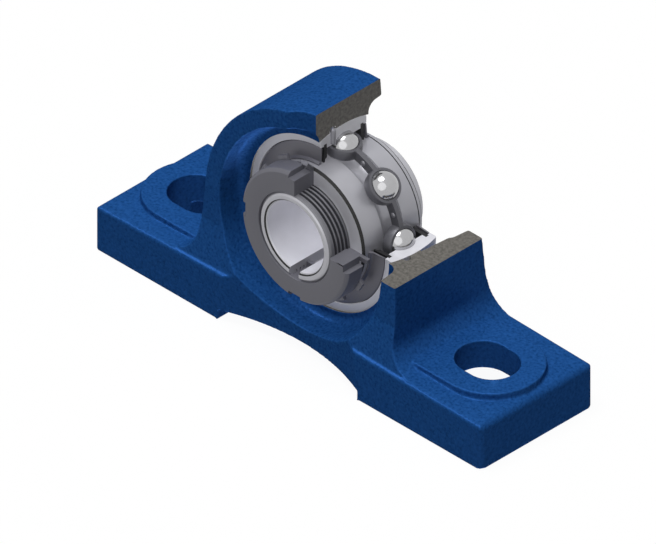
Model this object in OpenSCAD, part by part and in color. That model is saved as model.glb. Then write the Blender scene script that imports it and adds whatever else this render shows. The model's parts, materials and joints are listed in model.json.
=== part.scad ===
// Pillow block bearing with adapter sleeve, shown as a quarter cutaway.
// X runs along the base, Y along the shaft towards the back, Z up.
// The origin is the middle of the base's underside.

/* [Cutaway] */
// Remove the quarter of the housing and bearing that faces the viewer
cutaway = true;

/* [Housing base] */
// Length of the base along the two feet
base_length = 163; // [160:0.5:168]
// Width of the base along the shaft
base_width = 48; // [46:0.5:54]
// Height of a foot's long edges at its outer end
foot_end_height = 15.5; // [15:0.1:16]
// Slope of the foot's top down to its outer end, in degrees
foot_slope = 1.3; // [1:0.01:1.5]
// Rise of a foot's top from its long edges to its middle
foot_crown = 0.5; // [0.3:0.1:0.8]
// Inward lean of the base's long sides from floor to top
side_draft = 0.55; // [0.3:0.05:0.9]
// Corner radius of the base seen from above
foot_corner_radius = 3; // [2:0.25:5]
// Rounding of a foot's long upper edges
foot_edge_radius = 1.4; // [1:0.1:1.8]
// Rounding of a foot's upper edge at its outer end
foot_end_radius = 2.6; // [1.8:0.1:3]
// Height of the raised pad around each bolt slot
pad_height = 18.2; // [17.5:0.1:19]
// Radius of the pad's outer end at its foot
pad_end_radius = 16.8; // [16:0.1:17.4]
// Distance from the middle to the centre of the pad's round end
pad_end_distance = 62.2; // [61:0.1:62.8]
// Inward lean of the pad's wall
pad_wall_lean = 0.4; // [0.2:0.1:1]
// Spacing of the two bolt slots
slot_spacing = 121; // [117:0.5:124]
// Width of a bolt slot
slot_width = 17; // [13:0.25:18]
// Length of a bolt slot from end to end
slot_length = 21; // [19:0.25:24]

/* [Housing underside and waist] */
// Height of the hollow's ceiling under each foot
hollow_height = 8.2; // [6:0.1:8.6]
// Wall left beside the hollow under each foot
hollow_wall = 5.5; // [5:0.25:6.5]
// Distance from the middle to the inner end of each hollow
hollow_start = 36; // [34:0.5:40]
// Distance from the middle to the outer end of each hollow
hollow_end = 69.5; // [68:0.5:72]
// Height of the relief under the middle of the base
relief_height = 3.5; // [2.5:0.25:4.5]
// Half length of the relief under the middle of the base
relief_half_length = 29.3; // [28:0.1:30]
// Half depth of the housing at the middle, between the feet
waist_half_depth = 18.15; // [17.9:0.05:18.4]
// Plan radius of the hollow wall between the feet
waist_wall_radius = 75; // [72:1:80]

/* [Housing body] */
// Height of the shaft axis above the base
axis_height = 42.9; // [42.5:0.1:44]
// Radius of the round top about the shaft axis
dome_radius = 39.9; // [39.5:0.1:41]
// Half depth of the body at its very top
half_depth_top = 15.3; // [14.5:0.1:16.5]
// Half depth of the body at the shaft axis
half_depth_axis = 18.5; // [18.3:0.1:19.2]
// Half depth of the body near its shoulders
half_depth_shoulder = 19.3; // [18.5:0.1:20.5]
// Half depth of the body where it meets the feet
half_depth_foot = 22.3; // [21:0.1:22.9]
// Height of the shoulders on the body's ends
shoulder_height = 30; // [28:0.5:32]
// Outward lean of the body's flanks from axis height down to the fillet
flank_lean = 1; // [0.5:0.1:1.4]
// Radius of the fillet between flank and foot
flank_fillet = 10; // [8:0.5:11]
// Height at which the fillet runs out on the foot
fillet_runout = 16.05; // [15.95:0.05:16.1]
// Radius of the scoop in the front of the top rim
scoop_radius = 11; // [9:0.5:12]
// Distance from the shaft's middle plane to the scoop's deepest point
scoop_depth = 11.7; // [11.2:0.1:13]

/* [Housing seat] */
// Radius of the spherical seat
seat_radius = 31.1; // [31.04:0.01:31.2]
// Radius of the plain opening beside the seat
opening_radius = 29.4; // [29.2:0.1:29.9]
// Radius of the rounded channel around the opening
channel_radius = 3.5; // [3:0.1:3.9]
// Distance of the channel's centre circle from the shaft axis
channel_centre_radius = 30; // [29.8:0.1:30.4]
// Distance of the channel's centre circle from the middle plane
channel_centre_offset = 13.9; // [13.8:0.1:14.4]
// Radius gained by the channel's wall for each millimetre of depth
channel_flare = 0.1; // [0.05:0.01:0.14]
// Offset of the grease groove from the middle plane
groove_offset = 4.6; // [4.3:0.1:5]
// Half width of the grease groove
groove_half_width = 1.4; // [1.3:0.05:1.6]
// Half height of the loading slots at the back of the seat
loading_half_height = 9.9; // [9.8:0.05:10.3]
// Radius of the loading slots beside the seat's middle
loading_radius = 31.7; // [31.5:0.05:32]
// Radius gained by a loading slot for each millimetre of depth
loading_flare = 0.082; // [0.06:0.002:0.1]

/* [Bearing rings] */
// Radius of the outer ring's spherical outside
outer_ring_radius = 31; // [30.95:0.01:31.02]
// Width of the outer ring
outer_ring_width = 19; // [18.5:0.1:19.5]
// Edge chamfer of the outer ring
outer_ring_chamfer = 0.35; // [0.2:0.05:0.6]
// Bore radius of the outer ring at its faces
outer_face_radius = 26.9; // [26.7:0.05:27.1]
// Radius of the groove that holds a seal
seal_groove_radius = 27.5; // [27.4:0.05:27.8]
// Bore radius of the outer ring's shoulders
outer_shoulder_radius = 25.9; // [25.5:0.05:26.2]
// Radius of the inner ring's shoulders
inner_ring_radius = 21; // [20.9:0.05:21.1]
// Half width of the inner ring
inner_half_width = 12.65; // [12.4:0.05:12.9]
// Edge chamfer of the inner ring
inner_chamfer = 0.9; // [0.5:0.05:1.1]
// Radius of the tapered bore at its narrow front end
taper_front_radius = 15.2; // [15.1:0.01:15.3]
// Radius gained by the taper for each millimetre of length
taper_rate = 0.041667; // [0.0405:0.0001:0.043]
// Locating pin radius
pin_radius = 0.95; // [0.8:0.05:1]
// Height of the pin's dome top from the shaft axis
pin_top = 31.9; // [31.6:0.05:32]

/* [Balls and cage] */
// Ball diameter
ball_diameter = 9.525; // [9.4:0.025:9.55]
// Radius of the circle through the ball centres
pitch_radius = 23.3; // [23.25:0.01:23.4]
// Radius of the raceway's cross section
raceway_radius = 4.95; // [4.88:0.01:5]
// Gap between a ball and the bottom of each raceway
race_clearance = 0.03; // [0.02:0.01:0.06]
// Gap between a ball and its cage pocket
pocket_clearance = 0.15; // [0.1:0.01:0.2]
// Thickness of the cage's sheet
cage_sheet = 0.8; // [0.6:0.05:0.9]
// Width of the cage's band across its radius
cage_band = 3.2; // [2.8:0.05:3.6]
// Shank radius of a cage rivet
rivet_radius = 0.55; // [0.4:0.05:0.65]
// Head radius of a cage rivet
rivet_head_radius = 1; // [0.8:0.05:1.1]

/* [Seals and flingers] */
// Inner radius of the seal's lip
seal_lip_radius = 21.08; // [21.04:0.01:21.14]
// Outer radius of the seal
seal_outer_radius = 27.4; // [27.3:0.02:27.46]
// Offset of the seal's inner face from the middle plane
seal_offset = 7.15; // [7.05:0.05:7.3]
// Thickness of the seal's body
seal_thickness = 1.1; // [0.9:0.05:1.2]
// Outer radius of a flinger
flinger_outer_radius = 26.6; // [26.3:0.05:26.7]
// Gap between a flinger's bore and the inner ring
flinger_fit = 0.02; // [0.01:0.005:0.04]
// Offset of a flinger's outer rim from the middle plane
flinger_offset = 9; // [8.95:0.05:9.1]
// Sheet thickness of a flinger
flinger_sheet = 0.5; // [0.4:0.05:0.55]

/* [Adapter sleeve] */
// Bore radius of the sleeve, for a 15/16 inch shaft
sleeve_bore_radius = 11.91; // [11:0.01:12.75]
// Distance from the middle plane to the sleeve's threaded end
sleeve_front = 21; // [20.9:0.1:22]
// Distance from the middle plane to the sleeve's plain end
sleeve_back = 17.2; // [15:0.1:19]
// Gap between the sleeve's taper and the inner ring
taper_fit = 0.02; // [0.01:0.005:0.04]
// Crest radius of the sleeve's thread
thread_radius = 14.95; // [14.9:0.01:14.97]
// Pitch of the thread
thread_pitch = 1.5; // [1.3:0.1:1.5]
// Depth of the thread
thread_depth = 0.85; // [0.6:0.05:0.95]
// Number of thread grooves
thread_turns = 5; // [3:1:5]
// Radius of the sleeve's front end inside its chamfer
sleeve_nose_radius = 13.85; // [13.5:0.05:14.2]
// Chamfer at both ends of the sleeve's bore
bore_chamfer = 0.75; // [0.4:0.05:0.9]
// Width of the slit along the sleeve
slit_width = 4; // [3.8:0.1:4.5]

/* [Lock nut and washer] */
// Outer radius of the lock nut
nut_radius = 22.5; // [22:0.1:23]
// Thickness of the lock nut
nut_thickness = 7; // [6:0.1:7.1]
// Gap between the nut's bore and the thread's crests
nut_fit = 0.05; // [0.03:0.01:0.08]
// Chamfer of the nut's outer front edge
nut_chamfer = 1; // [0.5:0.1:1.4]
// Width of the nut's spanner slots
nut_slot_width = 5; // [4.4:0.1:5.4]
// Depth of the nut's spanner slots
nut_slot_depth = 2; // [1.6:0.1:2.4]
// Thickness of the lock washer
washer_thickness = 1.25; // [1:0.05:1.25]
// Outer radius of the washer's ring, without its teeth
washer_radius = 19.2; // [18.5:0.1:20]
// Outer radius of the washer's teeth
tooth_radius = 23.8; // [23.2:0.1:25]
// Width of a washer tooth
tooth_width = 4; // [3.6:0.1:4.4]
// Number of washer teeth
tooth_count = 12; // [11:1:14]
// Turn of the teeth off the middle of the nut's slot
tooth_turn = 1; // [0:0.25:1.25]
// Lean of the tooth that is bent into the nut's slot
tooth_bend = 38; // [30:1:45]
// Length of the tooth's bent tip
tooth_tip = 3; // [2:0.1:3.4]
// Width of the washer's inner tang
tang_width = 3.5; // [3:0.1:3.7]
// Distance of the tang's tip from the shaft axis
tang_reach = 13; // [12.6:0.1:13.4]
// Gap between the washer's ring and the crests of the thread
washer_fit = 0.4; // [0.3:0.05:0.6]

/* [Hidden] */
$fn = 96;
far = 2 * base_length;
half_length = base_length / 2;
half_width = base_width / 2;
half_width_top = half_width - side_draft;
foot_inner_height = foot_end_height + (half_length - 30) * tan(foot_slope);
half_slot = slot_width / 2;
slot_reach = (slot_length - slot_width) / 2;
flank_foot = dome_radius + flank_lean;
fillet_centre_x = flank_foot + flank_fillet;
fillet_centre_z = fillet_runout + flank_fillet;
channel_wall = channel_centre_radius + channel_radius;
outer_half = outer_ring_width / 2;
ball_radius = ball_diameter / 2;
outer_race_centre = pitch_radius + ball_radius + race_clearance - raceway_radius;
inner_race_centre = pitch_radius - ball_radius - race_clearance + raceway_radius;
pocket_inner = ball_radius + pocket_clearance;
pocket_outer = pocket_inner + cage_sheet;
cage_inner_radius = pitch_radius - cage_band / 2;
cage_outer_radius = pitch_radius + cage_band / 2;
ball_count = 8;
ball_step = 360 / ball_count;
nut_back = inner_half_width + washer_thickness;
nut_front = nut_back + nut_thickness;
nut_bore = thread_radius + nut_fit;
slot_bottom = nut_radius - nut_slot_depth;
thread_start = -inner_half_width - thread_turns * thread_pitch + 0.25;
nose_end = thread_start - 0.15;
washer_bore = thread_radius + washer_fit;
tooth_root = washer_radius - washer_thickness;
bend_height = slot_bottom + washer_thickness / 2;

// Places a shape drawn about its own Z axis on the shaft axis, with Z turned to the back
module on_shaft() {
    translate([0, 0, axis_height])
        rotate([-90, 0, 0])
            children();
}

// Copies a shape drawn at the front to the back
module front_and_back() {
    children();
    mirror([0, 1, 0])
        children();
}

// Copies a shape drawn at the right to the left
module left_and_right() {
    children();
    mirror([1, 0, 0])
        children();
}

// The quarter that the cutaway removes
module cut_quarter() {
    if (cutaway)
        translate([0, -far / 2, axis_height])
            cube([far, far, far]);
}

// Right half of the base seen from above
module foot_plan() {
    reach = half_width + 0.1;
    corner_x = half_length - foot_corner_radius;
    translate([-5, -reach])
        square([corner_x + 5, 2 * reach]);
    translate([-5, foot_corner_radius - reach])
        square([half_length + 5, 2 * (reach - foot_corner_radius)]);
    for (sy = [-1, 1])
        translate([corner_x, sy * (reach - foot_corner_radius)])
            circle(foot_corner_radius);
}

// Section across a foot, with its long top edges at height zero
module foot_cross_section() {
    edge = half_width_top - foot_edge_radius;
    polygon([
        [-half_width, -foot_inner_height],
        [-half_width - 0.1, -foot_inner_height - 3],
        [half_width + 0.1, -foot_inner_height - 3],
        [half_width, -foot_inner_height],
        [half_width_top, -foot_edge_radius],
        [edge, 0],
        [0, foot_crown],
        [-edge, 0],
        [-half_width_top, -foot_edge_radius]
    ]);
    for (s = [-1, 1])
        translate([s * edge, -foot_edge_radius])
            circle(foot_edge_radius);
}

// Side view of a foot, which rounds its outer end
module foot_side_view() {
    end_top = foot_end_height + foot_crown / 2;
    edge = half_length - 0.3 - foot_end_radius;
    low = end_top - foot_end_radius;
    polygon([
        [-10, -1],
        [half_length, -1],
        [half_length, 0],
        [half_length - 0.3, low],
        [edge, end_top],
        [edge - 6, end_top + 3],
        [-10, end_top + 3]
    ]);
    translate([edge, low])
        circle(foot_end_radius);
}

// Right half of the base
module foot_block() {
    intersection() {
        linear_extrude(height = 2 * foot_end_height)
            foot_plan();
        translate([half_length, 0, foot_end_height])
            rotate([0, foot_slope, 0])
                translate([-half_length - 20, 0, 0])
                    rotate([90, 0, 90])
                        linear_extrude(height = half_length + 30)
                            foot_cross_section();
        rotate([90, 0, 0])
            linear_extrude(height = 2 * base_width, center = true)
                foot_side_view();
    }
}

// Raised pad around one slot, drawn on the right
module slot_pad() {
    pad_foot = foot_end_height - 0.3;
    rise = pad_height - pad_foot;
    top_radius = pad_end_radius - pad_wall_lean;
    translate([pad_end_distance, 0, pad_foot])
        cylinder(h = rise, r1 = pad_end_radius, r2 = top_radius);
    translate([flank_foot - 6, 0, 0])
        rotate([90, 0, 90])
            linear_extrude(height = pad_end_distance - flank_foot + 6)
                polygon([
                    [-pad_end_radius, pad_foot],
                    [pad_end_radius, pad_foot],
                    [top_radius, pad_height],
                    [-top_radius, pad_height]
                ]);
}

module body_outline() {
    translate([0, axis_height])
        circle(dome_radius);
    polygon([
        [-dome_radius, axis_height],
        [-flank_foot, fillet_centre_z],
        [-flank_foot, 5],
        [flank_foot, 5],
        [flank_foot, fillet_centre_z],
        [dome_radius, axis_height]
    ]);
    for (s = [-1, 1])
        difference() {
            translate([s * (flank_foot + flank_fillet / 2 - 1), 10 + fillet_centre_z / 2 - 5])
                square([flank_fillet + 2, fillet_centre_z - 10], center = true);
            translate([s * fillet_centre_x, fillet_centre_z])
                circle(flank_fillet);
        }
}

module body_depth_profile() {
    side = [
        [half_depth_foot + 0.6, 5],
        [half_depth_foot + 0.6, foot_end_height - 1],
        [half_depth_foot, foot_end_height + 1.6],
        [half_depth_shoulder, shoulder_height],
        [half_depth_axis, axis_height],
        [half_depth_top, axis_height + dome_radius + 1]
    ];
    back = [for (i = [len(side) - 1:-1:0]) [-side[i][0], side[i][1]]];
    polygon(concat(side, back));
}

module body_block() {
    intersection() {
        rotate([90, 0, 0])
            linear_extrude(height = 2 * base_width, center = true)
                body_outline();
        rotate([90, 0, 90])
            linear_extrude(height = 2 * base_length, center = true)
                body_depth_profile();
    }
}

module bolt_slot() {
    translate([slot_spacing / 2, 0, -1]) {
        for (s = [-1, 1])
            translate([s * slot_reach, 0, 0])
                cylinder(h = pad_height + 2, r = half_slot);
        translate([-slot_reach, -half_slot, 0])
            cube([2 * slot_reach, slot_width, pad_height + 2]);
    }
}

// Hollow wall between the feet, drawn at the front
module waist_hollow() {
    translate([0, -waist_half_depth - waist_wall_radius, -1])
        cylinder(h = 30, r = waist_wall_radius);
}

// Relief under the middle of the base, so that only the feet stand on the frame
module middle_relief() {
    translate([-relief_half_length, -base_width, -1])
        cube([2 * relief_half_length, 2 * base_width, relief_height + 1]);
}

// Hollow under one foot, drawn on the right
module foot_hollow() {
    corner = 4;
    reach_x = hollow_end - hollow_start;
    reach_y = 2 * (half_width - hollow_wall);
    translate([hollow_start + reach_x / 2, 0, -1])
        linear_extrude(height = hollow_height + 1) {
            square([reach_x - 2 * corner, reach_y], center = true);
            square([reach_x, reach_y - 2 * corner], center = true);
            for (sx = [-1, 1])
                for (sy = [-1, 1])
                    translate([sx * (reach_x / 2 - corner), sy * (reach_y / 2 - corner)])
                        circle(corner);
        }
}

// Slots at the back through which the outer ring is put in sideways
module loading_slots() {
    start = 1;
    depth = base_width;
    intersection() {
        on_shaft()
            translate([0, 0, start])
                cylinder(h = depth, r1 = loading_radius, r2 = loading_radius + loading_flare * depth);
        translate([-base_length, 0, axis_height - loading_half_height])
            cube([2 * base_length, 2 * depth, 2 * loading_half_height]);
    }
}

module housing_opening() {
    on_shaft() {
        sphere(seat_radius);
        cylinder(h = 4 * base_width, r = opening_radius, center = true);
        rotate_extrude()
            translate([seat_radius - 0.1, -groove_offset])
                circle(groove_half_width);
        for (s = [0, 1])
            mirror([0, 0, s]) {
                rotate_extrude()
                    translate([channel_centre_radius, channel_centre_offset])
                        circle(channel_radius);
                translate([0, 0, channel_centre_offset])
                    cylinder(h = base_width, r1 = channel_wall, r2 = channel_wall + channel_flare * base_width);
            }
    }
}

module top_scoop() {
    translate([0, -scoop_depth - scoop_radius, axis_height + 25])
        cylinder(h = dome_radius, r = scoop_radius);
}

module housing() {
    color("#1e4e94")
        difference() {
            union() {
                body_block();
                left_and_right() {
                    foot_block();
                    slot_pad();
                }
            }
            left_and_right() {
                bolt_slot();
                foot_hollow();
            }
            front_and_back()
                waist_hollow();
            middle_relief();
            loading_slots();
            housing_opening();
            top_scoop();
            cut_quarter();
        }
}

module outer_ring_section() {
    edge = sqrt(pow(outer_ring_radius, 2) - pow(outer_half, 2)) - outer_ring_chamfer;
    intersection() {
        circle(outer_ring_radius, $fn = 360);
        polygon([
            [outer_shoulder_radius, -outer_half],
            [edge, -outer_half],
            [edge + 5, 5 - outer_half],
            [edge + 5, outer_half - 5],
            [edge, outer_half],
            [outer_shoulder_radius, outer_half]
        ]);
    }
}

module outer_ring() {
    color("#b8b8c0")
        difference() {
            on_shaft()
                rotate_extrude()
                    outer_ring_section();
            on_shaft() {
                rotate_extrude()
                    translate([outer_race_centre, 0])
                        circle(raceway_radius);
                for (s = [0, 1])
                    mirror([0, 0, s]) {
                        translate([0, 0, seal_offset - 0.1])
                            cylinder(h = seal_thickness + 0.2, r = seal_groove_radius);
                        translate([0, 0, seal_offset + seal_thickness])
                            cylinder(h = 5, r = outer_face_radius);
                    }
            }
            translate([0, -groove_offset, axis_height])
                cylinder(h = seat_radius, r = pin_radius + 0.02);
            cut_quarter();
        }
}

module locating_pin() {
    color("#c4c4cc")
        translate([0, -groove_offset, axis_height]) {
            translate([0, 0, outer_shoulder_radius + 0.3])
                cylinder(h = pin_top - outer_shoulder_radius - 0.3 - pin_radius, r = pin_radius);
            translate([0, 0, pin_top - pin_radius])
                sphere(pin_radius);
        }
}

// Rubber seal drawn with its inner face towards the balls
module seal_shape() {
    lip = seal_offset + seal_thickness;
    rotate_extrude()
        polygon([
            [seal_outer_radius, seal_offset],
            [seal_outer_radius, lip - 0.05],
            [outer_face_radius - 0.9, lip],
            [seal_lip_radius, lip + 0.3],
            [seal_lip_radius, lip - 0.25],
            [seal_lip_radius + 0.9, lip - 0.45],
            [seal_lip_radius + 1.3, seal_offset],
            [outer_face_radius - 1.2, seal_offset]
        ]);
}

module seal_front() {
    color("#1c1c1e")
        difference() {
            on_shaft()
                mirror([0, 0, 1])
                    seal_shape();
            cut_quarter();
        }
}

module seal_rear() {
    color("#1c1c1e")
        difference() {
            on_shaft()
                seal_shape();
            cut_quarter();
        }
}

// Sheet flinger with a short collar turned away from the balls
module flinger_shape() {
    bore = inner_ring_radius + flinger_fit;
    rotate_extrude()
        polygon([
            [flinger_outer_radius, flinger_offset],
            [flinger_outer_radius, flinger_offset + flinger_sheet],
            [bore + flinger_sheet + 0.5, flinger_offset + flinger_sheet + 0.4],
            [bore + flinger_sheet, flinger_offset + flinger_sheet + 1.2],
            [bore, flinger_offset + flinger_sheet + 1.2],
            [bore, flinger_offset + 0.4]
        ]);
}

module flinger_front() {
    color("#58585c")
        difference() {
            on_shaft()
                mirror([0, 0, 1])
                    flinger_shape();
            cut_quarter();
        }
}

module flinger_rear() {
    color("#58585c")
        difference() {
            on_shaft()
                flinger_shape();
            cut_quarter();
        }
}

module inner_ring() {
    face_radius = inner_ring_radius - inner_chamfer;
    back_bore = taper_front_radius + 2 * inner_half_width * taper_rate;
    color("#b8b8c0")
        on_shaft()
            difference() {
                rotate_extrude()
                    polygon([
                        [taper_front_radius, -inner_half_width],
                        [face_radius, -inner_half_width],
                        [inner_ring_radius, inner_chamfer - inner_half_width],
                        [inner_ring_radius, inner_half_width - inner_chamfer],
                        [face_radius, inner_half_width],
                        [back_bore, inner_half_width]
                    ]);
                rotate_extrude()
                    translate([inner_race_centre, 0])
                        circle(raceway_radius);
            }
}

module sleeve_section() {
    front = -sleeve_front;
    root = thread_radius - thread_depth;
    taper_start = taper_front_radius - taper_fit;
    taper_end = taper_start + (sleeve_back + inner_half_width) * taper_rate;
    grooves = [
        for (i = [0:thread_turns - 1])
            for (p = [[0, 0.12], [1, 0.62], [1, 0.88], [0, 1.38]])
                [thread_radius - p[0] * thread_depth, thread_start + (i + p[1] / 1.5) * thread_pitch]
    ];
    polygon(concat(
        [
            [sleeve_bore_radius + bore_chamfer, front],
            [sleeve_nose_radius, front],
            [thread_radius, nose_end]
        ],
        grooves,
        [
            [thread_radius, -inner_half_width],
            [taper_start, 0.15 - inner_half_width],
            [taper_end, sleeve_back],
            [sleeve_bore_radius + bore_chamfer, sleeve_back],
            [sleeve_bore_radius, sleeve_back - bore_chamfer],
            [sleeve_bore_radius, bore_chamfer - sleeve_front]
        ]
    ));
}

module adapter_sleeve() {
    color("#b8b8c0")
        difference() {
            on_shaft()
                rotate_extrude()
                    sleeve_section();
            translate([-slit_width / 2, -far / 2, axis_height - nut_radius])
                cube([slit_width, far, nut_radius - sleeve_bore_radius / 2]);
        }
}

// Straight tooth that stands up from the washer's ring to a given distance from the axis
module washer_tooth(tip_radius) {
    translate([-tooth_width / 2, 0, tooth_root])
        cube([tooth_width, washer_thickness, tip_radius - tooth_root]);
}

// The tooth whose tip leans forward into the nut's slot
module bent_tooth() {
    washer_tooth(bend_height + washer_thickness * 0.6);
    translate([0, 0, bend_height])
        rotate([tooth_bend, 0, 0])
            translate([-tooth_width / 2, 0, 0])
                cube([tooth_width, washer_thickness * 0.8, tooth_tip]);
}

module lock_washer() {
    step = 360 / tooth_count;
    color("#66666a")
        difference() {
            translate([0, -nut_back, axis_height]) {
                difference() {
                    union() {
                        rotate([-90, 0, 0])
                            cylinder(h = washer_thickness, r = washer_radius);
                        for (i = [1:tooth_count - 1])
                            rotate([0, i * step - tooth_turn, 0])
                                washer_tooth(tooth_radius);
                        rotate([0, -tooth_turn, 0])
                            bent_tooth();
                    }
                    rotate([-90, 0, 0])
                        cylinder(h = far, r = washer_bore, center = true);
                }
                translate([-tang_width / 2, 0, -tooth_root])
                    cube([tang_width, washer_thickness, tooth_root - tang_reach]);
            }
            cut_quarter();
        }
}

module nut_section() {
    polygon([
        [nut_bore, -nut_front],
        [nut_radius - nut_chamfer, -nut_front],
        [nut_radius, nut_chamfer - nut_front],
        [nut_radius, -nut_back - 0.4],
        [nut_radius - 0.4, -nut_back],
        [nut_bore, -nut_back]
    ]);
}

module lock_nut() {
    color("#58585c")
        difference() {
            on_shaft()
                rotate_extrude()
                    nut_section();
            translate([0, -nut_front - 1, axis_height])
                for (a = [0:90:270])
                    rotate([0, a, 0])
                        translate([-nut_slot_width / 2, 0, slot_bottom])
                            cube([nut_slot_width, nut_thickness + 2, 10]);
            cut_quarter();
        }
}

// One half of the riveted cage, drawn behind the ball circle
module cage_half() {
    difference() {
        union() {
            cylinder(h = cage_sheet, r = cage_outer_radius);
            for (i = [0:ball_count - 1])
                rotate([0, 0, i * ball_step])
                    translate([0, pitch_radius, 0])
                        sphere(pocket_outer);
        }
        for (i = [0:ball_count - 1])
            rotate([0, 0, i * ball_step]) {
                translate([0, pitch_radius, 0])
                    sphere(pocket_inner);
                rotate([0, 0, ball_step / 2])
                    translate([0, pitch_radius, -cage_sheet])
                        cylinder(h = 3 * cage_sheet, r = rivet_radius + 0.02);
            }
        cylinder(h = 4 * pocket_outer, r = cage_inner_radius, center = true);
        difference() {
            cylinder(h = 4 * pocket_outer, r = seat_radius, center = true);
            cylinder(h = 5 * pocket_outer, r = cage_outer_radius, center = true);
        }
        translate([0, 0, -4 * pocket_outer])
            cylinder(h = 4 * pocket_outer, r = seat_radius);
    }
}

module cage_front() {
    color("#505054")
        on_shaft()
            mirror([0, 0, 1])
                cage_half();
}

module cage_rear() {
    color("#505054")
        on_shaft()
            cage_half();
}

module cage_rivets() {
    color("#8a8a90")
        on_shaft()
            for (i = [0:ball_count - 1])
                rotate([0, 0, (i + 0.5) * ball_step])
                    translate([0, pitch_radius, 0]) {
                        cylinder(h = 2 * cage_sheet + 0.04, r = rivet_radius, center = true);
                        for (s = [0, 1])
                            mirror([0, 0, s])
                                translate([0, 0, cage_sheet + 0.02])
                                    cylinder(h = 0.4, r1 = rivet_head_radius, r2 = 0.7 * rivet_head_radius);
                    }
}

// One ball of the row, counted clockwise from the top as seen from the front
module ball_at(index) {
    color("#c8c8d0")
        translate([0, 0, axis_height])
            rotate([0, (index - 1) * ball_step, 0])
                translate([0, 0, pitch_radius])
                    sphere(ball_radius);
}

module ball_1() {
    ball_at(1);
}

module ball_2() {
    ball_at(2);
}

module ball_3() {
    ball_at(3);
}

module ball_4() {
    ball_at(4);
}

module ball_5() {
    ball_at(5);
}

module ball_6() {
    ball_at(6);
}

module ball_7() {
    ball_at(7);
}

module ball_8() {
    ball_at(8);
}

housing();
outer_ring();
locating_pin();
seal_front();
seal_rear();
inner_ring();
flinger_front();
flinger_rear();
adapter_sleeve();
lock_washer();
lock_nut();
cage_front();
cage_rear();
cage_rivets();
ball_1();
ball_2();
ball_3();
ball_4();
ball_5();
ball_6();
ball_7();
ball_8();
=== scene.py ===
"""Looks of a quarter-cut pillow block bearing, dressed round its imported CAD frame."""

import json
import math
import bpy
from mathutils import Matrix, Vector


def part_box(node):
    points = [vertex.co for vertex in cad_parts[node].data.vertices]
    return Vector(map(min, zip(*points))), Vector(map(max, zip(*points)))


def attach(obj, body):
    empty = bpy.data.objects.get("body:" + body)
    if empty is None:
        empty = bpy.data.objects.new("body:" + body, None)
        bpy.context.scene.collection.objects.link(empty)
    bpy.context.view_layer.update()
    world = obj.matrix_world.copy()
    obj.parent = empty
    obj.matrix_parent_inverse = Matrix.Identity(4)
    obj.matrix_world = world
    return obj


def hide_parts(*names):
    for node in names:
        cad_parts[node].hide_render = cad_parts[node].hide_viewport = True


bl_info = {
    "name": "Pillow block bearing, quarter cut",
    "version": (1, 0, 0),
    "blender": (4, 5, 0),
    "location": "3D View > Sidebar > Bearing",
    "description": "Builds the casting, rings, balls, sleeve and stage of a cutaway pillow block",
    "category": "Object",
}

import bmesh
import bpy
from bpy.props import FloatProperty, FloatVectorProperty, IntProperty, PointerProperty
from mathutils import Matrix, Vector

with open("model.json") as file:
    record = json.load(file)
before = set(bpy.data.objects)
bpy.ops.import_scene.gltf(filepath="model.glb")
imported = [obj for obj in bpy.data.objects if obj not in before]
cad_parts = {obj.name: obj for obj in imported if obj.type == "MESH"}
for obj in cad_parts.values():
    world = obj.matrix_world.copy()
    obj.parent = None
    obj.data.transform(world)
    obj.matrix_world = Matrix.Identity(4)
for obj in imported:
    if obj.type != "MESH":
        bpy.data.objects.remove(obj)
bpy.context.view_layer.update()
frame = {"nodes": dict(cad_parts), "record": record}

MM = 0.001
THREE_QUARTERS = -0.75 * math.tau  # backwards from the top, which leaves the cut quarter open
FIT = 0.02 * MM  # gap left between two fitted faces
SPARE_SLOTS = 5  # as many material slots as any piece has
WAVE_RATE = 20  # a Wave texture multiplies its coordinate by this

# Roughness, metallic share and pattern size in mm of each steel, and what it gives the eye
STEELS = {
    "ground_bearing_steel": (0.4, 0.15, 0.3),  # pale and even, hardly mirroring
    "honed_bearing_steel": (0.36, 0.35, 0.3),  # greyer, with long soft highlights
    "painted_shade_black": (0.7, 0, 0.4),  # near-black painted shade on chamfers and the turned line
    "hardened_pin_steel": (0.35, 0.5, 0.4),  # mid grey with a small highlight
    "pressed_flinger_steel": (0.45, 0.35, 0.4),  # dark grey sheet, softly shaded
    "turned_sleeve_steel": (0.38, 0.5, 0.25),  # light grey with a wide soft shine
    "painted_root_shade_steel": (0.45, 0.4, 0.4),  # painted shade: dark grey in the thread's roots and flanks
    "darker_crest_steel": (0.45, 0.35, 0.4),  # dull mid grey on the crests
    "phosphated_nut_steel": (0.5, 0.35, 0.35),  # flat dark grey
    "stamped_washer_steel": (0.48, 0.35, 0.6),  # the same grey, a little smoother
    "pressed_cage_steel": (0.42, 0.4, 0.7),  # dark grey with soft edges of light
    "upset_rivet_steel": (0.4, 0.5, 0.4),  # small lighter heads
    "lapped_ball_steel": (0.14, 0.9, 1.2),  # a mirror, a little clouded
}
BEVEL = {"offset_type": "OFFSET", "profile": 0.5, "material": -1}


def middle(node):
    """Centre of a CAD node's box"""
    low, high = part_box(node)
    return (low + high) / 2


def half_length(node):
    """Half of a CAD node's extent along the shaft"""
    low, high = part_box(node)
    return (high.y - low.y) / 2


def left_radius(node):
    """Largest distance of a CAD node from the shaft, on its uncut left side"""
    return -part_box(node)[0].x


SHAFT = middle("inner_ring")
BODY_OF = {
    node: body
    for body, nodes in frame["record"]["behaviour"]["bodies"].items()
    for node in nodes
}
BALLS = sorted(node for node in frame["nodes"] if node.startswith("ball_"))
BALL_RADIUS = half_length(BALLS[0])
PITCH_RADIUS = (middle(BALLS[0]) - SHAFT).length
BALL_STEP = math.tau / len(BALLS)


def linear(code):
    """Linear colour of an sRGB hex code"""
    channels = [int(code[i:i + 2], 16) / 255 for i in (1, 3, 5)]
    return tuple(
        c / 12.92 if c <= 0.04045 else ((c + 0.055) / 1.055) ** 2.4 for c in channels
    )


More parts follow.
